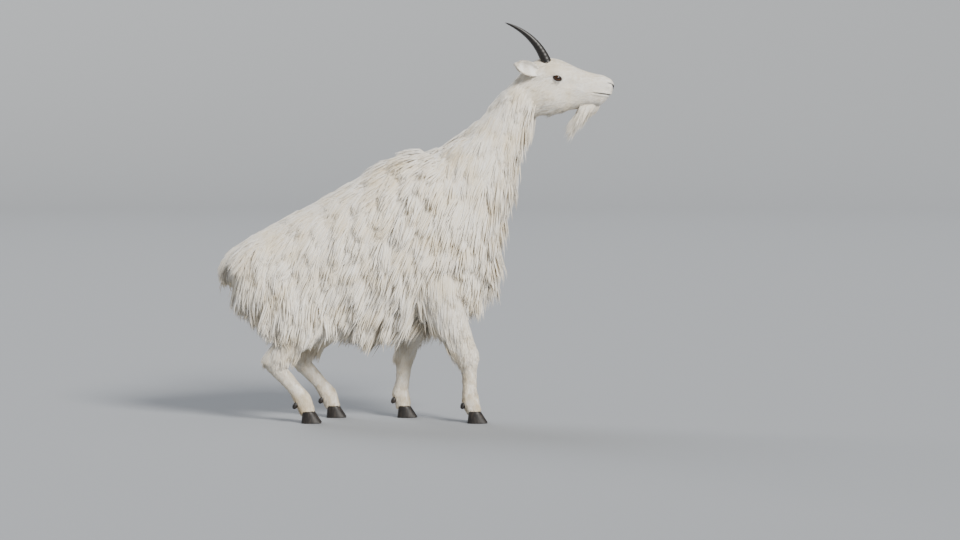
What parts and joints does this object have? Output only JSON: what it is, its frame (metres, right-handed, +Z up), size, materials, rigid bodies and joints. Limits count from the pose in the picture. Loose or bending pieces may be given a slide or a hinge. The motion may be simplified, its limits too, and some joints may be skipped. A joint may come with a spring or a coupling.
{
  "type": "mountain goat",
  "caption": "Life-size standing mountain goat with a long pale coat, short black horns and cloven hooves, its forehand raised and its hindquarters crouched.",
  "frame": {"origin": "on the floor under the middle of the bounding box", "axes": "+X is the way that the goat faces, +Y its left side, +Z up"},
  "size_m": [1.3997, 0.47, 1.4073],
  "materials": {
    "coat": "long, dull, cream-white hair",
    "horn": "satin black keratin with low rings",
    "hoof": "dull black keratin",
    "eye": "wet, dark brown"
  },
  "bodies": {
    "root": {"eye_right": "eye", "horn_right": "horn", "ear_right": "coat", "eye_left": "eye", "horn_left": "horn", "ear_left": "coat", "head": "coat", "claw_foreleg_right_inner": "hoof", "dewclaw_foreleg_right_inner": "hoof", "claw_foreleg_right_outer": "hoof", "dewclaw_foreleg_right_outer": "hoof", "lower_foreleg_right": "coat", "upper_foreleg_right": "coat", "claw_foreleg_left_inner": "hoof", "dewclaw_foreleg_left_inner": "hoof", "claw_foreleg_left_outer": "hoof", "dewclaw_foreleg_left_outer": "hoof", "lower_foreleg_left": "coat", "upper_foreleg_left": "coat", "claw_hindleg_right_inner": "hoof", "dewclaw_hindleg_right_inner": "hoof", "claw_hindleg_right_outer": "hoof", "dewclaw_hindleg_right_outer": "hoof", "lower_hindleg_right": "coat", "shank_right": "coat", "thigh_right": "coat", "claw_hindleg_left_inner": "hoof", "dewclaw_hindleg_left_inner": "hoof", "claw_hindleg_left_outer": "hoof", "dewclaw_hindleg_left_outer": "hoof", "lower_hindleg_left": "coat", "shank_left": "coat", "thigh_left": "coat", "neck": "coat", "trunk": "coat", "tail": "coat"}
  },
  "joints": []
}
